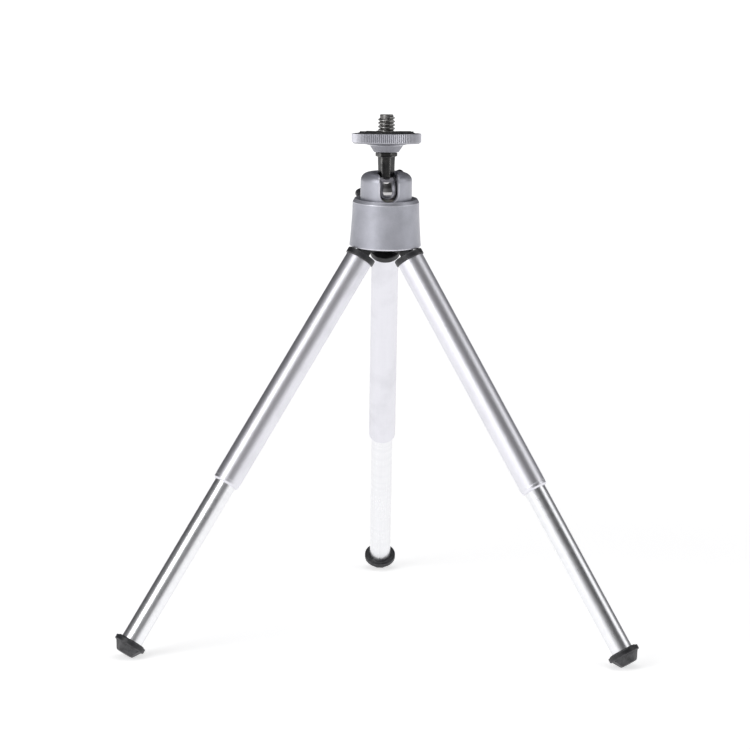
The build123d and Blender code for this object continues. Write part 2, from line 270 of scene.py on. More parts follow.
flank = []
flank_top = barrel_h - rim_lip_h
for step in range(1, 10):
    share = step / 10
    r = barrel_rim_r + (barrel_top_r - barrel_rim_r) * share - 4 * barrel_dish * share * (1 - share)
    flank.append((r, flank_top * share, 0))
barrel_outline = rounded([
    (barrel_bore_r, 0, 0.2),
    (barrel_rim_r, 0, 0.4),
    *flank,
    (barrel_top_r, flank_top, 0.5),
    (rim_lip_r, barrel_h, 0.22),
    (rim_lip_inner_r, barrel_h, 0.22),
    (recess_r, barrel_h - rim_lip_slope, 0.15),
    (recess_r, recess_floor, 0.1),
    (screw_hole_r, recess_floor, 0),
    (screw_hole_r, web_low, 0),
    (barrel_bore_r, web_low, 0.1),
])
barrel_place = Matrix.Translation((0, 0, barrel_low.z / MM))
barrel_paint = silver_paint("barrel_paint", shade_within=5.0)
barrel = made_piece("barrel_shell", turned(barrel_outline, 160), barrel_place, barrel_paint)
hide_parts("barrel")
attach(barrel, "base")


# ---------------------------------------------------------------------------
# Cup: turned housing for the ball, sprayed like the barrel. A slot is milled
# down its front so that the stem can lie down, and its edges are broken. A bore
# behind takes the nylon shoe and the lock screw.
joints = {joint["name"]: joint for joint in frame["joints"]}
ball_centre = Vector(joints["ball_tilt"]["pos_m"]) / MM
slot_way = -Vector(joints["lock_advance"]["axis"])
cup_low = (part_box("head_cup")[0].z / MM) - ball_centre.z
cup_r = 9.4
cup_dome = 6.8
cup_round = 3.0
mouth_r = 4.45
mouth_round = 0.8
socket_r = 6.12
cup_bore_r = 6.4
slot_half = 3.25
slot_break = 0.4
shoe_bore_r, shoe_bore_end = 2.55, 8.02
screw_bore_r = 2.05
bore_from, bore_to = 3.0, 11.0


def axes(x, z, origin):
    """Matrix in mm of a frame with the given X and Z directions."""
    x, z = Vector(x).normalized(), Vector(z).normalized()
    y = z.cross(x)
    return Matrix.Translation(origin) @ Matrix((x, y, z)).transposed().to_4x4()


def cup_outline():
    """Outer side up, over the dome, down the mouth and the socket: points (r, z)."""
    low = slot_half + slot_break
    points = [(cup_r, cup_low), (cup_r, -low - 1.0)]
    points += [(cup_r, -low * cos(radians(step))) for step in range(0, 91, 9)]
    points += [(cup_r, 1.3), (cup_r, 2.6)]
    for step in range(0, 91, 9):
        turn = radians(step)
        points.append((cup_r - cup_round * (1 - cos(turn)), cup_dome - cup_round * (1 - sin(turn))))
    for step in range(0, 91, 15):
        turn = radians(step)
        points.append((mouth_r + mouth_round * (1 - sin(turn)), cup_dome - mouth_round * (1 - cos(turn))))
    neck = asin(mouth_r / socket_r)
    for step in range(9):
        turn = neck + (pi / 2 - neck) * step / 8
        points.append((socket_r * sin(turn), socket_r * cos(turn)))
    points += [(cup_bore_r, -low * cos(radians(step))) for step in range(90, -1, -9)]
    return points + [(cup_bore_r, -low - 1.0), (cup_bore_r, cup_low)]


def half_gap(z, extra):
    """Half the slot's width at a height, with its edge let out by extra."""
    reach = slot_half + extra
    return reach if z >= 0 else sqrt(max(reach * reach - z * z, 0.0))


def combined(shape, tool, operation):
    """Two solids in mm joined or cut with a Boolean."""
    stands = []
    for name, solid in (("first", shape), ("second", tool)):
        bmesh.ops.remove_doubles(solid, verts=solid.verts, dist=1e-4)
        bmesh.ops.recalc_face_normals(solid, faces=solid.faces)
        mesh = bpy.data.meshes.new(name)
        solid.to_mesh(mesh)
        solid.free()
        stands.append(bpy.data.objects.new(name, mesh))
        bpy.context.scene.collection.objects.link(stands[-1])
    cut = stands[0].modifiers.new("combine", "BOOLEAN")
    cut.operation, cut.solver, cut.object = operation, "EXACT", stands[1]
    view = bpy.context.evaluated_depsgraph_get()
    result = bmesh.new()
    result.from_mesh(bpy.data.meshes.new_from_object(stands[0].evaluated_get(view)))
    for stand in stands:
        bpy.data.objects.remove(stand)
    return result


def slotted_cup(columns=132):
    """The cup as a grid round its outline, open along the slot, whose walls and broken edges close it."""
    outline = cup_outline()
    shape = bmesh.new()
    edge = shape.verts.layers.float.new("edge")
    count = len(outline)
    rows, brinks = [], []
    for place, (r, z) in enumerate(outline):
        before, after = Vector(outline[place - 1]), Vector(outline[(place + 1) % count])
        along = (after - before).normalized()
        inward = Vector((-along.y, along.x)) * slot_break
        open_row = z > -slot_half - slot_break - 1e-6
        gap = half_gap(z, slot_break) if open_row else 0.0
        start = asin(min(gap / r, 1.0))
        row = []
        for column in range(columns + 1):
            turn = start + (2 * pi - 2 * start) * column / columns
            row.append(shape.verts.new((r * cos(turn), r * sin(turn), z)))
        rows.append(row)
        if not open_row:
            brinks.append(None)
            continue
        tight = slot_half / (slot_half + slot_break) if z < 0 else 1.0
        y_wall = half_gap(z * tight, 0.0)
        walls = []
        for side in (1, -1):
            surface = Vector((sqrt(r * r - gap * gap), side * gap, z))
            deep_r = r + inward.x
            deep = Vector((sqrt(deep_r**2 - y_wall**2), side * y_wall, z * tight + inward.y * (z >= 0)))
            corner = Vector((sqrt(r * r - y_wall**2), side * y_wall, z * tight))
            middle = (surface + deep) / 2 * 0.586 + corner * 0.414
            walls.append((shape.verts.new(middle), shape.verts.new(deep)))
            walls[-1][0][edge] = 1.0
            row[0 if side == 1 else columns][edge] = 0.7
        brinks.append(walls)
    for place in range(count):
        after = (place + 1) % count
        for column in range(columns):
            near, far = rows[place][column : column + 2], rows[after][column : column + 2]
            shape.faces.new(near + far[::-1])
        if brinks[place] and brinks[after]:
            for side, end in ((0, 0), (1, columns)):
                ring = [(rows[k][end], *brinks[k][side]) for k in (place, after)]
                for step in range(2):
                    shape.faces.new([ring[0][step], ring[0][step + 1], ring[1][step + 1], ring[1][step]])
    open_rows = [place for place in range(count) if brinks[place]]
    level = [place for place in open_rows if outline[place][1] >= -1e-6]
    lower = [place for place in open_rows if place < level[0]] + [level[0]]
    inner = [place for place in open_rows if place > level[-1]][::-1] + [level[-1]]
    for side in (0, 1):
        shape.faces.new([brinks[place][side][1] for place in level])
        for step in range(len(lower) - 1):
            outside = [brinks[place][side][1] for place in lower[step : step + 2]]
            inside = [brinks[place][side][1] for place in inner[step : step + 2]]
            shape.faces.new([outside[0], outside[1], inside[1], inside[0]])
    return shape


cup_place = axes(slot_way, (0, 0, 1), ball_centre)
clamp_bore = turned([
    (0.0, bore_from, 0.0), (shoe_bore_r, bore_from, 0.0), (shoe_bore_r, shoe_bore_end, 0.0),
    (screw_bore_r, shoe_bore_end, 0.0), (screw_bore_r, bore_to, 0.0), (0.0, bore_to, 0.0),
], 32)
clamp_bore.transform(Matrix.Rotation(-pi / 2, 4, "Y"))
cup_solid = combined(slotted_cup(), clamp_bore, "DIFFERENCE")
# The cup's paint carries painted shade in its socket and bore, within 6.6 mm of the ball centre.
cup_paint = silver_paint("cup_paint", shade_within=6.6)
cup = made_piece("head_cup_shell", cup_solid, cup_place, cup_paint)
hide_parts("head_cup")
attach(cup, "cup")


# ---------------------------------------------------------------------------
# Ball: turned steel ball with a flat for the stem, polished and chromed. It is
# put in from below and turns between the socket and a nylon seat.
ball_r = 6.0
stem_corner = 3.0
stem_axis = Vector(joints["stem_spin"]["axis"])
ball_place = axes(slot_way - slot_way.dot(stem_axis) * stem_axis, stem_axis, ball_centre)


def chrome(name):
    """Bright chrome with light finger marks and hair scratches where it rubs in its socket."""
    material, shader, wire = new_finish(name, Metallic=1.0)
    spot = place_in(wire, False)
    smear = ramped(wire, speckle(wire, spot, 0.35, 3.0), 0.45, 0.75)
    scratch = speckle(wire, spot, 3.0, 4.0, (1.0, 1.0, 9.0))
    tone = blended(wire, smear, (0.5, 0.49, 0.49, 1.0), (0.34, 0.335, 0.33, 1.0))
    feed(
        shader,
        Base_Color=tone,
        Roughness=0.04 + smear * 0.09 + scratch * 0.03,
        Normal=bumped(wire, scratch, 0.0015),
    )
    return material


ball_flat = sqrt(ball_r**2 - stem_corner**2)
ball_outline = []
for step in range(37):
    turn = pi - (pi - asin(stem_corner / ball_r)) * step / 36
    ball_outline.append((ball_r * sin(turn), ball_r * cos(turn), 0.0))
ball_outline += [(stem_corner - 0.25, ball_flat, 0.0), (0.0, ball_flat, 0.0)]
ball = made_piece("chrome_ball", turned(ball_outline), ball_place, chrome("ball_chrome"))
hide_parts("ball")
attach(ball, "ball")


# ---------------------------------------------------------------------------
# Stem: six-sided steel bar that flares up to a hexagonal collar, ground and
# then plated dark. A spigot below it is pressed into the ball.
stem_turn = radians(18.9)
stem_top = 14.1
collar_h = 1.5
collar_corner = 4.05
collar_break, collar_face_corner = 0.24, 3.75
neck_corner, neck_top_corner = 3.2, 3.4
hex_round = 0.3


def dark_plate(name):
    """Black nickel over ground steel: fine lines round the bar, edges polished through."""
    material, shader, wire = new_finish(name, Metallic=1.0)
    spot = place_in(wire, False)
    ground = speckle(wire, spot, 2.2, 3.0, (0.6, 0.6, 7.0))
    blotch = speckle(wire, spot, 0.5, 3.0)
    edge = edge_mark(wire)
    worn = edge * ramped(wire, blotch + ground, 0.8, 1.2)
    cloudy = ramped(wire, blotch, 0.35, 0.7)
    tone = blended(wire, cloudy, (0.03, 0.03, 0.031, 1.0), (0.07, 0.069, 0.068, 1.0))
    tone = blended(wire, worn * 0.6, tone, (0.5, 0.49, 0.48, 1.0))
    feed(
        shader,
        Base_Color=tone,
        Roughness=0.14 + ground * 0.14,
        Normal=bumped(wire, ground, 0.004),
    )
    return material


def hex_ring(corner_r):
    """Hexagon with rounded corners as (x, y, edge), turned as the stem is. Only the corners are edges."""
    arcs = []
    centre_r = corner_r - hex_round / cos(pi / 6)
    for corner in range(6):
        heading = stem_turn + corner * pi / 3
        bends = [heading + radians(lean) for lean in (-30, -10, 10, 30)]
        middle = Vector((cos(heading), sin(heading))) * centre_r
        arcs.append([middle + Vector((cos(bend), sin(bend))) * hex_round for bend in bends])
    ring = []
    for arc, after in zip(arcs, arcs[1:] + arcs[:1]):
        ring += [(*point, 1.0) for point in arc]
        ring += [(*arc[-1].lerp(after[0], share), 0.0) for share in (0.12, 0.88)]
    return ring


def stacked(sections):
    """A solid through rings of equal count, each (height, ring), closed at both ends."""
    shape = bmesh.new()
    edge = shape.verts.layers.float.new("edge")
    rings = []
    for z, ring in sections:
        verts = [shape.verts.new((x, y, z)) for x, y, mark in ring]
        for vert, (x, y, mark) in zip(verts, ring):
            vert[edge] = mark
        rings.append(verts)
    for ring, after in zip(rings, rings[1:]):
        for k in range(len(ring)):
            turn = (k + 1) % len(ring)
            shape.faces.new([ring[k], ring[turn], after[turn], after[k]])
    shape.faces.new(rings[0][::-1])
    shape.faces.new(rings[-1])
    return shape


collar_low = stem_top - collar_h
stem_sections = [
    (ball_flat + 0.05, hex_ring(stem_corner)),
    (collar_low - 0.3, hex_ring(neck_corner)),
    (collar_low, hex_ring(neck_top_corner)),
    (collar_low + 0.02, hex_ring(collar_face_corner)),
    (collar_low + collar_break, hex_ring(collar_corner)),
    (stem_top - collar_break, hex_ring(collar_corner)),
    (stem_top, hex_ring(collar_face_corner)),
]
stem = made_piece("hex_stem", stacked(stem_sections), ball_place, dark_plate("stem_plate"), 24.0)
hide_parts("ball_stem")
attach(stem, "stem")


# ---------------------------------------------------------------------------
# Camera stud: rolled quarter inch thread, 20 to the inch, nickel plated, screwed
# into the stem's collar. The thread runs out at both ends of a turned core.
stud_r = 3.175
thread_pitch = 25.4 / 20
thread_depth = 0.72
stud_root_r = stud_r - thread_depth
pad_top = 21.8
stud_tip = pad_top + 6.1


def off_axis(wire, spot):
    """Distance in mm from the piece's own Z axis."""
    flat = wire.node("VectorMath", {0: spot, 1: (1.0, 1.0, 0.0)}, operation="MULTIPLY")
    return wire.node("VectorMath", {0: flat}, out=1, operation="LENGTH")


def nickel(name, bare=False):
    """Nickel plate: slightly yellow and polished, duller in the roots of a made thread, where painted shade
    darkens it, and with faint grime.
    """
    material, shader, wire = new_finish(name, Metallic=1.0)
    spot = place_in(wire, bare)
    # Painted shade: the colour darkens from the thread's crests down to its roots.
    painted_crest_light = 1.0 if bare else ramped(wire, off_axis(wire, spot), stud_root_r, stud_r - 0.1)
    grime = speckle(wire, spot, 1.3, 4.0)
    tone = blended(wire, painted_crest_light, (0.2, 0.195, 0.19, 1.0), (0.56, 0.555, 0.545, 1.0))
    tone = blended(wire, ramped(wire, grime, 0.45, 0.8) * 0.4, tone, (0.4, 0.39, 0.37, 1.0))
    feed(
        shader,
        Base_Color=tone,
        Roughness=0.34 - painted_crest_light * 0.14 + grime * 0.08,
        Normal=bumped(wire, speckle(wire, spot, 5.0, 2.0, (1.0, 1.0, 3.0)), 0.003),
    )
    return material


class Grower:
    """Builds one Geometry Nodes tree whose named inputs are its sizes."""

    def __init__(self, name, **sizes):
        self.tree = bpy.data.node_groups.new(name, "GeometryNodeTree")
        face = self.tree.interface
        self.ids = {}
        face.new_socket("Geometry", in_out="INPUT", socket_type="NodeSocketGeometry")
        face.new_socket("Geometry", in_out="OUTPUT", socket_type="NodeSocketGeometry")
        for label, size in sizes.items():
            kind = "NodeSocketInt" if isinstance(size, int) else "NodeSocketFloat"
            socket = face.new_socket(label.replace("_", " ").title(), in_out="INPUT", socket_type=kind)
            self.ids[socket.identifier] = size
        self.start = self.tree.nodes.new("NodeGroupInput")
        self.end = self.tree.nodes.new("NodeGroupOutput")

    def size(self, label):
        return self.start.outputs[label]

    def add(self, kind, sockets=None, out=0, **settings):
        """Adds a node: its settings first, then the values or links of its sockets."""
        made = self.tree.nodes.new(kind)
        for name, value in settings.items():
            setattr(made, name, value)
        for key, value in (sockets or {}).items():
            if isinstance(value, bpy.types.NodeSocket):
                self.tree.links.new(value, made.inputs[key])
            else:
                made.inputs[key].default_value = value
        return made.outputs[out]

    def sums(self, operation, first, second):
        return self.add("ShaderNodeMath", {0: first, 1: second}, operation=operation)

    def grown(self, repeated, base, finish):
        """What the tree repeats, joined to a base solid, as a plain solid in mm."""
        joined = self.add("GeometryNodeJoinGeometry", {0: repeated})
        self.tree.links.new(self.start.outputs["Geometry"], joined.node.inputs[0])
        solid = self.add("GeometryNodeRealizeInstances", {0: joined})
        coated = self.add("GeometryNodeSetMaterial", {0: solid, "Material": finish})
        self.tree.links.new(coated, self.end.inputs[0])
        mesh = bpy.data.meshes.new("base")
        base.to_mesh(mesh)
        base.free()
        stand = bpy.data.objects.new("base", mesh)
        bpy.context.scene.collection.objects.link(stand)
        modifier = stand.modifiers.new("grow", "NODES")
        modifier.node_group = self.tree
        for identifier, value in self.ids.items():
            modifier[identifier] = value
        view = bpy.context.evaluated_depsgraph_get()
        result = bpy.data.meshes.new_from_object(stand.evaluated_get(view))
        stand.modifiers.remove(modifier)
        bpy.data.objects.remove(stand)
        shape = bmesh.new()
        shape.from_mesh(result)
        return shape


def threaded(core, finish):
    """A ridge of thread wound up a core, thinning away over its first and last half turn."""
    grow = Grower(
        "wound_thread", root_radius=stud_root_r, depth=thread_depth, pitch=thread_pitch,
        turns=(stud_tip - 1.1 - stem_top) / thread_pitch, low=stem_top + 0.1,
    )
    height = grow.sums("MULTIPLY", grow.size("Pitch"), grow.size("Turns"))
    helix = grow.add("GeometryNodeCurveSpiral", {
        "Resolution": 40, "Rotations": grow.size("Turns"), "Start Radius": grow.size("Root Radius"),
        "End Radius": grow.size("Root Radius"), "Height": height, "Reverse": False,
    })
    helix = grow.add("GeometryNodeSetCurveNormal", {"Curve": helix}, mode="Z_UP")
    share = grow.add("GeometryNodeSplineParameter")
    rise = grow.add("ShaderNodeMapRange", {"Value": share, "From Max": 0.06})
    fall = grow.add("ShaderNodeMapRange", {"Value": share, "From Min": 0.94, "To Min": 1.0, "To Max": 0.0})
    thick = grow.sums("MULTIPLY", rise, fall)
    thick = grow.sums("MAXIMUM", thick, 0.02)
    helix = grow.add("GeometryNodeSetCurveRadius", {"Curve": helix, "Radius": thick})
    root_w = grow.sums("MULTIPLY", grow.size("Pitch"), 0.88)
    section = grow.add("GeometryNodeCurvePrimitiveQuadrilateral", {
        "Height": grow.sums("MULTIPLY", grow.size("Depth"), 2.0),
        "Bottom Width": grow.sums("MULTIPLY", root_w, 1.9),
        "Top Width": grow.sums("MULTIPLY", root_w, 0.15),
        "Offset": 0.0,
    }, mode="TRAPEZOID")
    section = grow.add("GeometryNodeTransform", {0: section, "Rotation": (0.0, 0.0, pi / 2)})
    ridge = grow.add("GeometryNodeCurveToMesh", {"Curve": helix, "Profile Curve": section, "Fill Caps": True})
    lift = grow.add("ShaderNodeCombineXYZ", {"Z": grow.size("Low")})
    ridge = grow.add("GeometryNodeTransform", {0: ridge, "Translation": lift})
    return grow.grown(ridge, core, finish)


stud_finish = nickel("stud_nickel")
stud_core = turned(rounded([
    (0.0, stem_top, 0), (stud_root_r, stem_top, 0), (stud_root_r, stud_tip, 0.35), (0.0, stud_tip, 0),
]), 48)
stud = made_piece("camera_stud", threaded(stud_core, stud_finish), ball_place, stud_finish, 30.0)
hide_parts("camera_screw")
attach(stud, "stem")


# ---------------------------------------------------------------------------
# Platform: turned alloy disc on the stud, with straight knurling round its rim
# and a hub below it. It is screwed up against the camera to lock it.
disc_low, disc_top = 17.3, 21.0
disc_r = 12.7
disc_bore_r = 3.225
hub_low, hub_low_r = 14.15, 4.45
cone_top, cone_top_r = 16.7, 6.15
flare_r = 8.75
rim_low_r, rim_top_r = 11.95, 12.1
knurls = 104
knurl_h = 0.34


def turned_alloy(name):
    """Satin alloy: rings left by the turning tool, painted shade between the knurls and a painted highlight
    on the knurl crests and rounded edges.
    """
    material, shader, wire = new_finish(name, Metallic=1.0)
    spot = place_in(wire, False)
    out = off_axis(wire, spot)
    outward = wire.node("CombineXYZ", {0: out})
    rings = wire.node("TexWave", {"Vector": outward, "Scale": 1.6, "Distortion": 0.6}, out=1)
    painted_crest_light = ramped(wire, out, disc_r - knurl_h, disc_r - 0.05)
    dust = speckle(wire, spot, 1.1, 3.0)
    edge = edge_mark(wire)
    tone = blended(wire, dust, (0.38, 0.38, 0.415, 1.0), (0.28, 0.28, 0.31, 1.0))
    # Painted highlight on the knurl crests and rounded edges, leaving painted shade between the knurls.
    tone = blended(wire, ramped(wire, painted_crest_light + edge, 0.2, 1.0) * 0.85, tone, (0.76, 0.76, 0.81, 1.0))
    feed(
        shader,
        Base_Color=tone,
        Roughness=0.46 + dust * 0.12 - edge * 0.12,
        Normal=bumped(wire, rings * 0.5 + dust * 0.5, 0.008),
    )
    return material


def around(grow, ring_radius, bar, **more):
    """The bar repeated on a ring about Z, each copy turned to face outwards."""
    ring = grow.add("GeometryNodeMeshCircle", {"Vertices": grow.size("Count"), "Radius": ring_radius})
    pitch = grow.sums("DIVIDE", 2 * pi, grow.size("Count"))
    number = grow.add("GeometryNodeInputIndex")
    turn = grow.add("ShaderNodeCombineXYZ", {"Z": grow.sums("MULTIPLY", number, pitch)})
    sockets = {"Points": ring, "Instance": bar, "Rotation": turn, **more}
    return grow.add("GeometryNodeInstanceOnPoints", sockets)


def knurled(blank, finish):
    """Four-sided bars stood round the rim, each with one corner outwards."""
    grow = Grower(
        "rim_knurls", count=knurls, rim_radius=disc_r - knurl_h, height=knurl_h,
        low=disc_low + 0.45, length=disc_top - disc_low - 0.55,
    )
    bar = grow.add("GeometryNodeMeshCylinder", {
        "Vertices": 4, "Radius": grow.size("Height"), "Depth": grow.size("Length"),
    })
    bars = around(grow, grow.size("Rim Radius"), bar)
    middle = grow.sums("ADD", grow.size("Low"), grow.sums("MULTIPLY", grow.size("Length"), 0.5))
    lift = grow.add("ShaderNodeCombineXYZ", {"Z": middle})
    bars = grow.add("GeometryNodeTransform", {0: bars, "Translation": lift})
    return grow.grown(bars, blank, finish)


alloy = turned_alloy("platform_alloy")
disc_blank = turned(rounded([
    (disc_bore_r, hub_low, 0),
    (hub_low_r, hub_low, 0.2),
    (cone_top_r, cone_top, 0.5),
    (flare_r, disc_low, 0.5),
    (rim_low_r, disc_low, 0.1),
    (disc_r - knurl_h, disc_low + 0.4, 0.1),
    (disc_r - knurl_h, disc_top - 0.12, 0.1),
    (rim_top_r, disc_top, 0.1),
    (disc_bore_r, disc_top, 0),
]), 128)
platform = made_piece("knurled_platform", knurled(disc_blank, alloy), ball_place, alloy, 25.0)
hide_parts("platform_disc")
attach(platform, "disc")


# ---------------------------------------------------------------------------
# Pad: moulded rubber ring glued on the platform, with coarse radial ribs that
# grip the base of the camera.
pad_r = 10.3
pad_bore_r = 3.475
pad_base = 0.3
glue_film = 0.01
rib_count = 13


def rubber(name):
    """Black rubber: matt, faintly dusty, with a slight mould texture."""
    material, shader, wire = new_finish(name, Metallic=0.0)
    spot = place_in(wire, False)
    dust = speckle(wire, spot, 0.9, 4.0)
    pores = speckle(wire, spot, 6.0, 2.0)
    dusty = ramped(wire, dust, 0.4, 0.8)
    tone = blended(wire, dusty, (0.012, 0.012, 0.013, 1.0), (0.045, 0.045, 0.048, 1.0))
    feed(shader, Base_Color=tone, Roughness=0.55 + dust * 0.25, Normal=bumped(wire, pores, 0.02))
    return material


def ribbed(blank, finish):
    """Three-sided bars of uneven width laid from the bore to the edge of the pad."""
    grow = Grower(
        "pad_ribs", count=rib_count, middle_radius=6.95, rib_length=6.2, rib_radius=1.2,
        squash=0.36, low=disc_top + pad_base - 0.15,
    )
    bar = grow.add("GeometryNodeMeshCylinder", {
        "Vertices": 3, "Radius": grow.size("Rib Radius"), "Depth": grow.size("Rib Length"),
    })
    bar = grow.add("GeometryNodeTransform", {0: bar, "Rotation": (0.0, -pi / 2, 0.0)})
    slim = grow.add("ShaderNodeCombineXYZ", {"X": 1.0, "Y": 0.8, "Z": grow.size("Squash")})
    bar = grow.add("GeometryNodeTransform", {0: bar, "Scale": slim})
    uneven = grow.add("FunctionNodeRandomValue", {
        0: (0.85, 0.55, 0.75), 1: (1.0, 1.25, 1.0), "Seed": 5,
    }, data_type="FLOAT_VECTOR")
    bars = around(grow, grow.size("Middle Radius"), bar, Scale=uneven)
    half_rib = grow.sums("MULTIPLY", grow.size("Rib Radius"), grow.size("Squash"))
    rise = grow.sums("MULTIPLY", half_rib, 0.5)
    lift = grow.add("ShaderNodeCombineXYZ", {"Z": grow.sums("ADD", grow.size("Low"), rise)})
    bars = grow.add("GeometryNodeTransform", {0: bars, "Translation": lift})
    return grow.grown(bars, blank, finish)


pad_rubber = rubber("pad_rubber")
pad_blank = turned(rounded([
    (pad_bore_r, disc_top + glue_film, 0),
    (pad_r, disc_top + glue_film, 0.08),
    (pad_r, disc_top + pad_base, 0.15),
    (pad_bore_r, disc_top + pad_base, 0.1),
]), 96)
pad = made_piece("ribbed_pad", ribbed(pad_blank, pad_rubber), ball_place, pad_rubber, 30.0)
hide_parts("platform_pad")
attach(pad, "pad")


# ---------------------------------------------------------------------------
# Lock knob: black moulded wing knob on a steel screw behind the cup. Turning it
# presses a nylon shoe on the ball.
knob_start = 13.15
knob_len = 7.2
knob_hub_r = 3.8
wing_reach = 9.8
wing_t = 3.2
wing_depth = 5.4
wing_angle = radians(26.0)


def black_plastic(name, bare=False):
    """Black moulded plastic: semi-matt, finely textured, greyed on the edges."""
    material, shader, wire = new_finish(name, Metallic=0.0, Specular_IOR_Level=0.5)
    spot = place_in(wire, bare)
    mould = speckle(wire, spot, 5.0, 3.0)
    dust = speckle(wire, spot, 0.5, 4.0)
    edge = edge_mark(wire)
    dusty = ramped(wire, dust, 0.35, 0.75)
    greyed = edge * ramped(wire, mould + dust, 0.8, 1.3) * 0.6
    tone = blended(wire, dusty, (0.013, 0.013, 0.015, 1.0), (0.03, 0.03, 0.034, 1.0))
    tone = blended(wire, greyed, tone, (0.12, 0.12, 0.125, 1.0))
    feed(
        shader,
        Base_Color=tone,
        Roughness=0.34 + mould * 0.2,
        Normal=bumped(wire, mould, 0.02),
    )
    return material


def wing_ring(inset):
    """Outline of the two wings seen along the screw: a bar with round ends, let in by inset."""
    ring = []
    end_r = wing_t / 2 - inset
    for side in (1, -1):
        for step in range(13):
            turn = radians(15 * step - 90 * side)
            x = side * (wing_reach - wing_t / 2) + end_r * cos(turn)
            ring.append((x, end_r * sin(turn), 1.0 if inset else 0.3))
    return ring


def knob_solid():
    """The wings and the hub, cut together into one solid."""
    far = knob_start + knob_len
    near = far - wing_depth
    wings = stacked([
        (near, wing_ring(0.45)), (near + 0.13, wing_ring(0.13)), (near + 0.45, wing_ring(0.0)),
        (far - 0.45, wing_ring(0.0)), (far - 0.13, wing_ring(0.13)), (far, wing_ring(0.45)),
    ])
    wings.transform(Matrix.Rotation(-wing_angle, 4, "Z"))
    hub = turned(rounded([
        (0.0, knob_start, 0), (knob_hub_r, knob_start, 0.4), (knob_hub_r, far, 0.5), (0.0, far, 0),
    ]), 64)
    return combined(wings, hub, "UNION")


knob_place = axes(Vector((0, 0, 1)).cross(slot_way), -slot_way, ball_centre)
knob = made_piece("wing_knob", knob_solid(), knob_place, black_plastic("knob_plastic"), 35.0)
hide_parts("lock_knob")
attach(knob, "knob")


# ---------------------------------------------------------------------------
# Leg plugs: black mouldings pressed into the tops of the tubes. Each has a
# collar that stops on the barrel's rim and an ear that turns on the hinge pin.
SIDES = ("right", "rear", "left")
collar_r = 5.5
collar_t = 2.2
ear_r = 2.2
ear_t = 3.0
ear_break = 0.2
pin_hole_r = 1.05
stop_depth = 3.996
collar_end = stop_depth + collar_t
plug_spigot_len = 5.0
outer_bore_r = 4.5
leg_places = {}
for side in SIDES:
    fold = joints[f"leg_fold_{side}"]
    up_leg = Vector(joints[f"leg_slide_{side}"]["axis"])
    leg_places[side] = axes(Vector(fold["axis"]).cross(up_leg), up_leg, Vector(fold["pos_m"]) / MM)


def ear_solid():
    """The ear as rings round the pin hole, from one face through its broken edges to the other."""
    shape = bmesh.new()
    edge = shape.verts.layers.float.new("edge")
    steps = 48
    bands = []
    half = ear_t / 2
    profile = [(half, 0.0), (half, ear_r - ear_break), (half - ear_break, ear_r)]
    for y, r in [(-y, r) for y, r in profile] + profile[::-1]:
        band = []
        for step in range(steps):
            turn = 2 * pi * step / steps
            x, z = cos(turn), sin(turn)
            reach = r or pin_hole_r
            if r and z < 0:
                reach = min(r / max(abs(x), 1e-6), stop_depth / max(-z, 1e-6))
            band.append(shape.verts.new((reach * x, y, reach * z)))
            band[-1][edge] = 0.5 if r else 0.0
        bands.append(band)
    for band, after in zip(bands, bands[1:] + bands[:1]):
        for k in range(steps):
            turn = (k + 1) % steps
            shape.faces.new([band[k], band[turn], after[turn], after[k]])
    return shape


def merged(shape, other):
    """Two closed shells that overlap, kept as one solid with all faces turned outwards."""
    for solid in (shape, other):
        bmesh.ops.recalc_face_normals(solid, faces=solid.faces)
    mesh = bpy.data.meshes.new("other_shell")
    other.to_mesh(mesh)
    other.free()
    shape.from_mesh(mesh)
    return shape


def plug_solid():
    """Collar, spigot and ear."""
    shape = turned(rounded([
        (0.0, -stop_depth, 0),
        (collar_r, -stop_depth, 0.35),
        (collar_r, -collar_end, 0.3),
        (outer_bore_r, -collar_end, 0),
        (outer_bore_r, -collar_end - plug_spigot_len, 0.3),
        (0.0, -collar_end - plug_spigot_len, 0),
    ]), 80)
    return merged(shape, ear_solid())


plug_plastic = black_plastic("plug_plastic")
for side in SIDES:
    plug = made_piece(f"plug_{side}", plug_solid(), leg_places[side], plug_plastic)
    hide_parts(f"leg_plug_{side}")
    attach(plug, f"leg_{side}")


# ---------------------------------------------------------------------------
# Outer tubes: drawn aluminium, satin anodised. The lower end of each is grooved
# and rolled in, so that it guides the inner tube and holds it in.
outer_r = 5.0
outer_len = 95.5
outer_end = collar_end + outer_len
inner_r = 4.0
roll_len = 1.6


def satin_alloy(name):
    """Satin anodising: grain drawn along the tube over finer rings, a few dull rubs."""
    material, shader, wire = new_finish(name, Metallic=1.0)
    spot = place_in(wire, False)
    drawn = speckle(wire, spot, 2.2, 3.0, (1.0, 1.0, 0.03))
    ringed = speckle(wire, spot, 1.6, 3.0, (0.05, 0.05, 4.0))
    fine = speckle(wire, spot, 9.0, 2.0)
    rub = ramped(wire, speckle(wire, spot, 0.12, 4.0), 0.5, 0.75)
    edge = edge_mark(wire)
    brushed = drawn * 0.3 + ringed * 0.3 + fine * 0.4
    tone = blended(wire, brushed, (0.75, 0.745, 0.79, 1.0), (0.86, 0.855, 0.9, 1.0))
    tone = blended(wire, rub * 0.25, tone, (0.58, 0.58, 0.61, 1.0))
    feed(
        shader,
        Base_Color=tone,
        Roughness=0.34 + fine * 0.1 + rub * 0.05 - edge * 0.08,
        Normal=bumped(wire, fine * 0.6 + ringed * 0.25 + drawn * 0.15, 0.02),
    )
    return material


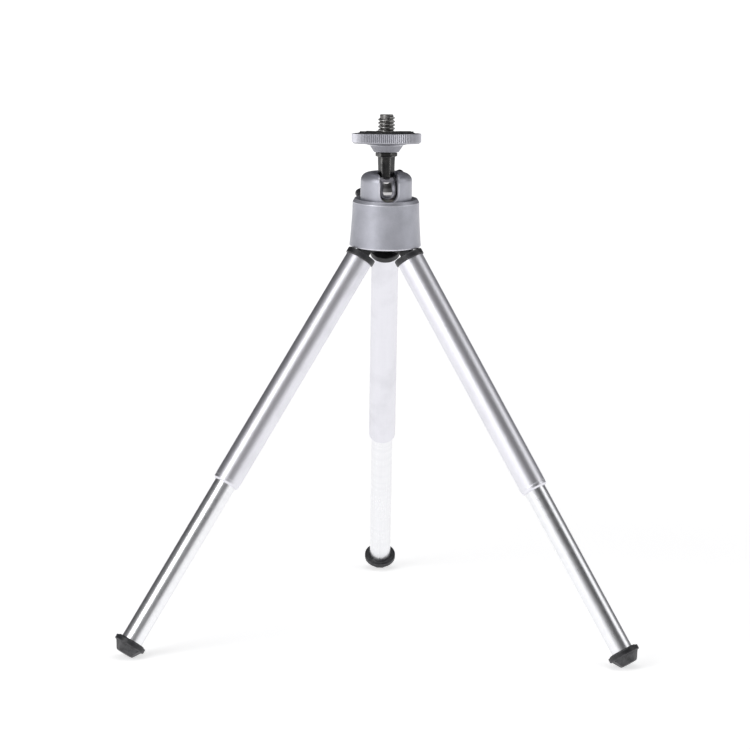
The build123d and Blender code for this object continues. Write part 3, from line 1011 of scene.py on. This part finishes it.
roll_top = -outer_end + roll_len
lip_r = inner_r + 0.05
tube_outline = rounded([
    (outer_bore_r, -collar_end, 0),
    (outer_r, -collar_end, 0.12),
    (outer_r, roll_top + 0.3, 0.15),
    (outer_r - 0.07, roll_top + 0.1, 0.08),
    (outer_r - 0.03, roll_top - 0.12, 0.1),
    (outer_r - 0.08, -outer_end + 0.6, 0.4),
    (lip_r + 0.3, -outer_end, 0.15),
    (lip_r, -outer_end, 0.08),
    (lip_r, roll_top, 0),
    (outer_bore_r, roll_top + 0.5, 0),
], steps=3)
tube_alloy = satin_alloy("tube_alloy")
for side in SIDES:
    tube = made_piece(f"tube_{side}", turned(tube_outline, 112), leg_places[side], tube_alloy)
    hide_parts(f"outer_tube_{side}")
    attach(tube, f"leg_{side}")


# ---------------------------------------------------------------------------
# Inner tubes: thin drawn aluminium, polished, sliding in the outer tubes on a
# nylon bush. They show the faint scuffs of being pushed in and out.
inner_bore_r = 3.5
inner_shown = 65.9
inner_hidden = 13.4
foot_top = outer_end + inner_shown
inner_top = outer_end - inner_hidden


def bright_alloy(name):
    """Polished alloy with long scuffs from sliding and faint wear rings."""
    material, shader, wire = new_finish(name, Metallic=1.0)
    spot = place_in(wire, False)
    scuff = speckle(wire, spot, 3.2, 3.0, (1.0, 1.0, 0.02))
    ringed = ramped(wire, speckle(wire, spot, 0.5, 3.0, (0.05, 0.05, 1.0)), 0.45, 0.75)
    fine = speckle(wire, spot, 7.0, 2.0)
    marked = scuff * 0.7 + ringed * 0.3
    tone = blended(wire, marked, (0.92, 0.92, 0.935, 1.0), (0.8, 0.805, 0.83, 1.0))
    feed(
        shader,
        Base_Color=tone,
        Roughness=0.23 + scuff * 0.12 + ringed * 0.06,
        Normal=bumped(wire, scuff * 0.4 + fine * 0.6, 0.012),
    )
    return material


shank_outline = rounded([
    (inner_bore_r, -foot_top, 0),
    (inner_r, -foot_top, 0),
    (inner_r, -inner_top, 0.1),
    (inner_bore_r, -inner_top, 0),
])
shank_alloy = bright_alloy("shank_alloy")
for side in SIDES:
    shank = made_piece(f"shank_{side}", turned(shank_outline, 96), leg_places[side], shank_alloy)
    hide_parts(f"inner_tube_{side}")
    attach(shank, f"lower_leg_{side}")


# ---------------------------------------------------------------------------
# Feet: black moulded plastic. A round flange with a raised seat for the tube
# stands over a blunt cone with eight flats, and a spigot is pressed in the tube.
flange_r = 5.9
flange_t = 2.2
cone_r = 5.3
tip_r = 3.2
foot_h = 5.4
spigot_len = 7.5
seat_r, seat_low_r = 5.0, 5.15
flats = 8
flat_round = 0.5


def flat_sided(radius):
    """Regular outline with rounded corners as (x, y, edge)."""
    ring = []
    centre_r = radius - flat_round / cos(pi / flats)
    for corner in range(flats):
        heading = 2 * pi * (corner + 0.5) / flats
        for lean in (-1, -0.33, 0.33, 1):
            bend = heading + lean * pi / flats
            x = centre_r * cos(heading) + flat_round * cos(bend)
            ring.append((x, centre_r * sin(heading) + flat_round * sin(bend), 1.0))
    return ring


def foot_solid():
    """Flange with its spigot, and the faceted cone."""
    flange_low = -foot_top - flange_t
    foot_low = -foot_top - foot_h
    shape = turned(rounded([
        (0.0, -foot_top + spigot_len, 0),
        (inner_bore_r, -foot_top + spigot_len, 0.3),
        (inner_bore_r, -foot_top, 0),
        (seat_r, -foot_top, 0.12),
        (seat_low_r, -foot_top - 0.3, 0.1),
        (flange_r, -foot_top - 0.42, 0.2),
        (flange_r, flange_low, 0.35),
        (0.0, flange_low, 0),
    ], steps=3), 72)
    cone = stacked([
        (flange_low + 0.6, flat_sided(cone_r)),
        (flange_low, flat_sided(cone_r)),
        (foot_low + 0.4, flat_sided(tip_r + 0.3)),
        (foot_low + 0.1, flat_sided(tip_r)),
        (foot_low, flat_sided(tip_r - 0.35)),
    ])
    return merged(shape, cone)


foot_plastic = black_plastic("foot_plastic")
for side in SIDES:
    foot = made_piece(f"foot_cap_{side}", foot_solid(), leg_places[side], foot_plastic, 28.0)
    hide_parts(f"foot_{side}")
    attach(foot, f"lower_leg_{side}")


# ---------------------------------------------------------------------------
# Inner works: the moulded leg hub with its hinge pins, the screw and washer that
# hold the head together, the cup's base plug, and the nylon seat, shoe and bushes.
def nylon(name):
    """Natural nylon: off-white, waxy, slightly mottled."""
    waxy = {"Subsurface_Weight": 0.15, "Subsurface_Scale": 0.002}
    material, shader, wire = new_finish(name, Metallic=0.0, **waxy)
    spot = place_in(wire, True)
    mottle = speckle(wire, spot, 0.8, 4.0)
    tone = blended(wire, mottle, (0.66, 0.65, 0.6, 1.0), (0.78, 0.77, 0.72, 1.0))
    feed(shader, Base_Color=tone, Roughness=0.38 + mottle * 0.15, Normal=bumped(wire, mottle, 0.02))
    return material


def zinc(name):
    """Machined zinc: grey and slightly clouded."""
    material, shader, wire = new_finish(name, Metallic=1.0)
    spot = place_in(wire, True)
    cloud = speckle(wire, spot, 0.9, 4.0)
    tone = blended(wire, cloud, (0.42, 0.42, 0.44, 1.0), (0.54, 0.54, 0.56, 1.0))
    feed(shader, Base_Color=tone, Roughness=0.4 + cloud * 0.15, Normal=bumped(wire, cloud, 0.01))
    return material


def coat(node, finish):
    """Gives a frame node its finish."""
    slots = frame["nodes"][node].data.materials
    slots.clear()
    slots.append(finish)


hub_plastic = black_plastic("hub_plastic", bare=True)
works_nickel = nickel("works_nickel", bare=True)
works_nylon = nylon("works_nylon")
coat("leg_hub", hub_plastic)
coat("cup_base", zinc("base_zinc"))
for node in ("swivel_washer", "centre_screw", "lock_screw"):
    coat(node, works_nickel)
for node in ("ball_seat", "clamp_shoe"):
    coat(node, works_nylon)
for side in SIDES:
    coat(f"hinge_pin_{side}", works_nickel)
    coat(f"slide_bush_{side}", works_nylon)


# ---------------------------------------------------------------------------
# Studio: a white table that glows a little more with distance, a dim room with
# lighter bands for the metal to reflect, and soft boxes at left front, right and top.
table_mesh = bpy.data.meshes.new("table")
table_mesh.from_pydata([(-6, -6, 0), (6, -6, 0), (6, 6, 0), (-6, 6, 0)], [], [(0, 1, 2, 3)])
table = bpy.data.objects.new("table", table_mesh)
bpy.context.scene.collection.objects.link(table)
table_finish, table_shader, table_wire = new_finish("table_white", Roughness=0.7)
table_shader.inputs["Base Color"].default_value = (0.8, 0.8, 0.8, 1.0)
table_shader.inputs["Emission Strength"].default_value = 1.0
table_spot = table_wire.node("TexCoord", out=3)
table_reach = table_wire.node("VectorMath", {0: table_spot}, out=1, operation="LENGTH")
table_glow = table_wire.node("MapRange", {
    "Value": table_reach, "From Min": 0.2, "From Max": 1.2, "To Min": 0.64, "To Max": 0.95,
})
feed(table_shader, Emission_Color=table_glow)
table_mesh.materials.append(table_finish)

world = bpy.data.worlds.new("room")
bpy.context.scene.world = world
world.use_nodes = True
sky = Wire(world.node_tree)
way = sky.node("TexCoord", out=0)
beside, behind, height = [sky.node("SeparateXYZ", {0: way}, out=axis) for axis in range(3)]
bearing = sky.maths("ARCTAN2", beside, behind * -1.0)
room = sky.node("ValToRGB", {0: bearing * (0.5 / pi) + 0.5}, stops=[
    (0.0, (0.12, 0.12, 0.125, 1.0)),
    (1.0, (0.12, 0.12, 0.125, 1.0)),
    (0.15, (0.1, 0.1, 0.105, 1.0)),
    (0.37, (1.0, 1.0, 1.02, 1.0)),
    (0.45, (0.5, 0.5, 0.51, 1.0)),
    (0.56, (0.18, 0.18, 0.185, 1.0)),
    (0.63, (0.18, 0.18, 0.185, 1.0)),
    (0.74, (0.85, 0.85, 0.87, 1.0)),
    (0.84, (0.3, 0.3, 0.31, 1.0)),
])
dim = sky.node("ValToRGB", {0: height}, stops=[
    (0.0, (1.0, 1.0, 1.0, 1.0)),
    (1.0, (1.0, 1.0, 1.0, 1.0)),
    (0.3, (1.0, 1.0, 1.0, 1.0)),
    (0.55, (0.35, 0.35, 0.35, 1.0)),
    (0.8, (0.5, 0.5, 0.5, 1.0)),
])
both = {"Factor": 1.0, 6: room, 7: dim}
room = sky.node("Mix", both, out=2, data_type="RGBA", blend_type="MULTIPLY")
world.node_tree.links.new(room.socket, world.node_tree.nodes["Background"].inputs["Color"])
world.node_tree.nodes["Background"].inputs["Strength"].default_value = 0.7


def soft_box(name, azimuth, elevation, distance, size, power):
    """A round soft light aimed at the head of the tripod; azimuth 0 is the camera's side."""
    a, e = radians(azimuth), radians(elevation)
    light = bpy.data.lights.new(name, "AREA")
    light.shape, light.size, light.energy = "DISK", size, power
    lamp = bpy.data.objects.new(name, light)
    aim = Vector((0, 0, 0.1))
    lamp.location = aim + distance * Vector((sin(a) * cos(e), -cos(a) * cos(e), sin(e)))
    lamp.rotation_euler = (aim - lamp.location).to_track_quat("-Z", "Y").to_euler()
    bpy.context.scene.collection.objects.link(lamp)


soft_box("left_front_box", -42, 25, 1.1, 0.7, 4.0)
soft_box("right_box", 82, 30, 1.2, 0.8, 1.8)
soft_box("top_box", 0, 82, 1.3, 0.9, 3.5)


# ---------------------------------------------------------------------------
# Camera: long lens, a little above the head and looking slightly down.
camera_data = bpy.data.cameras.new("camera")
camera_data.lens = 222.34
camera_data.sensor_width = 36.0
camera_data.clip_start, camera_data.clip_end = 0.1, 20.0
camera = bpy.data.objects.new("camera", camera_data)
bpy.context.scene.collection.objects.link(camera)
tilt, roll, swing = radians(10.416), radians(1.098), radians(0.287)
aim = Vector((-0.002793, 0, 0.095876))
ahead = Vector((0, cos(tilt), -sin(tilt)))
level = Vector((1, 0, 0))
above = level.cross(ahead)
across = level * cos(roll) + above * sin(roll)
upward = -level * sin(roll) + above * cos(roll)
turn_round = Matrix.Rotation(swing, 4, "Z")
seat = Matrix((across, upward, -ahead)).transposed().to_4x4()
seat.translation = aim - ahead * 1.7
camera.matrix_world = turn_round @ seat
bpy.context.scene.camera = camera
bpy.context.scene.view_settings.view_transform = "Standard"
